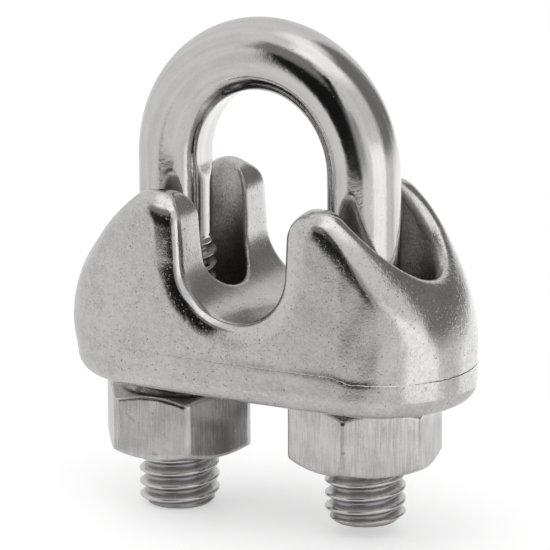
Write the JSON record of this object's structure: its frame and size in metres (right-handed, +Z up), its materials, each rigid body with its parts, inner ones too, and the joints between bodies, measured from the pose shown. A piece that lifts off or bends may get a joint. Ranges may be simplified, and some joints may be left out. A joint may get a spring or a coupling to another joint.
{
  "type": "wire rope clip",
  "caption": "Wire rope clip: a threaded U-bolt, a cast saddle with horned leg pockets and a half-round rope seat, and hexagon nuts on the legs.",
  "frame": {"origin": "on the axis of the rope seat, at the middle of the saddle's width", "axes": "+X from the left leg to the right leg, +Y along the rope towards the back, +Z up from the nuts to the crown of the bow"},
  "size_m": [0.031, 0.014, 0.037],
  "materials": {
    "polished_rod": "polished stainless rod with faint lengthwise drawing lines and rolled threads",
    "cast_saddle": "satin cast stainless, tumbled, with fine pits and a rougher rope seat",
    "bright_nut": "bright turned and drawn stainless"
  },
  "bodies": {
    "saddle": {"saddle": "cast_saddle"},
    "u_bolt": {"u_bolt": "polished_rod"},
    "nut_left": {"nut_left": "bright_nut"},
    "nut_right": {"nut_right": "bright_nut"}
  },
  "joints": [
    {"name": "nut_left_turn", "type": "hinge", "parent": "saddle", "child": "nut_left", "pos_m": [-0.0082, 0, -0.01345], "axis": [0, 0, 1], "range_deg": [-2700, 3420]},
    {"name": "nut_right_turn", "type": "hinge", "parent": "saddle", "child": "nut_right", "pos_m": [0.0072, 0, -0.0126], "axis": [0, 0, 1], "range_deg": [-2700, 3420]},
    {"name": "u_bolt_draw", "type": "slide", "parent": "saddle", "child": "u_bolt", "axis": [0, 0, 1], "range_m": [-0.0095, 0.0075]}
  ],
  "couplings": [
    {"joint": "nut_left_turn", "follows": "u_bolt_draw", "rad_per_m": -6283.2},
    {"joint": "nut_right_turn", "follows": "u_bolt_draw", "rad_per_m": -6283.2}
  ]
}
